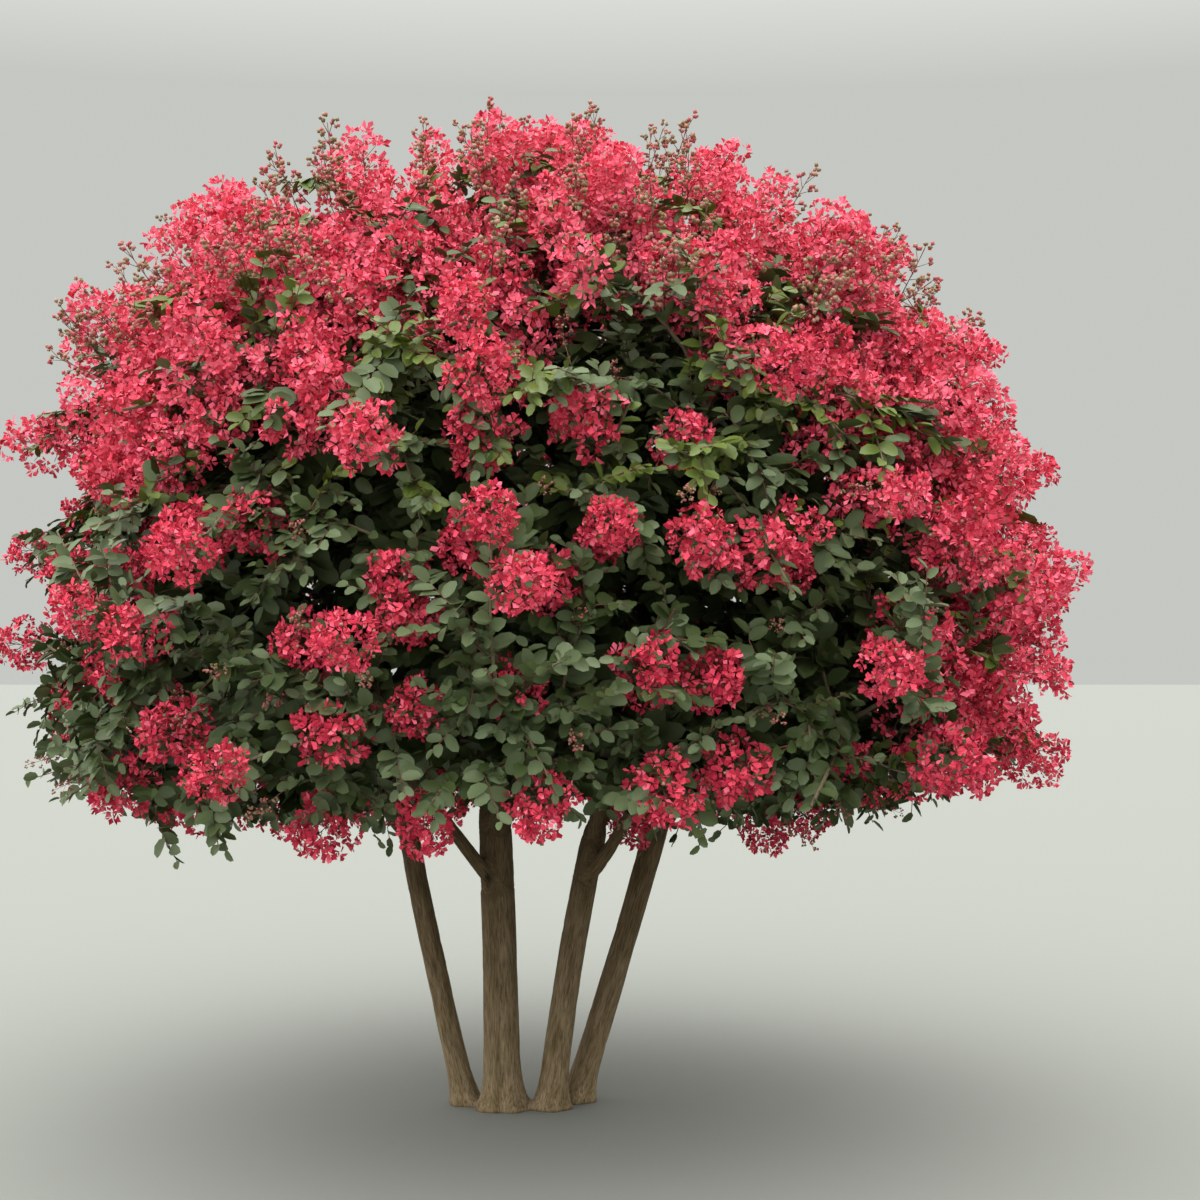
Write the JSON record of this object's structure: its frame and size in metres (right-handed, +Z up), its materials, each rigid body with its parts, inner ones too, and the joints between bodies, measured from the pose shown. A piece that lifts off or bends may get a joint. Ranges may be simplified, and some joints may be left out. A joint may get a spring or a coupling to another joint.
{
  "type": "crape myrtle tree",
  "caption": "Multi-stemmed flowering shrub-tree with a broad rounded crown of leaves and red panicles on smooth fluted stems.",
  "frame": {"origin": "middle of the main stem's flat cut at ground level", "axes": "+Z up along the stems, -Y towards the front of the plant, +X to its right"},
  "size_m": [3.251, 3.216, 2.9657],
  "materials": {
    "bark": "smooth grey-brown bark with fine upright fissures",
    "leaf": "thin soft leaf, dull waxy top",
    "blossom": "crinkled matt petals in panicles"
  },
  "bodies": {
    "root": {"stem_middle": "bark", "stem_left": "bark", "stem_near_right": "bark", "stem_far_right": "bark", "bough_low_front": "bark", "bough_low_front_right": "bark", "bough_low_right": "bark", "bough_low_back_right": "bark", "bough_low_back_left": "bark", "bough_low_left": "bark", "bough_low_front_left": "bark", "bough_upper_right": "bark", "bough_upper_back_right": "bark", "bough_upper_back_left": "bark", "bough_upper_left": "bark", "bough_upper_front_left": "bark", "bough_upper_front_right": "bark", "bough_top_back_right": "bark", "bough_top_back_left": "bark", "bough_top_front_left": "bark", "bough_top_front_right": "bark", "foliage_low_front": "leaf", "foliage_low_front_right": "leaf", "foliage_low_right": "leaf", "foliage_low_back_right": "leaf", "foliage_low_back_left": "leaf", "foliage_low_left": "leaf", "foliage_low_front_left": "leaf", "foliage_upper_right": "blossom", "foliage_upper_back_right": "blossom", "foliage_upper_back_left": "blossom", "foliage_upper_left": "blossom", "foliage_upper_front_left": "blossom", "foliage_upper_front_right": "blossom", "foliage_top_back_right": "blossom", "foliage_top_back_left": "blossom", "foliage_top_front_left": "blossom", "foliage_top_front_right": "blossom"}
  },
  "joints": []
}
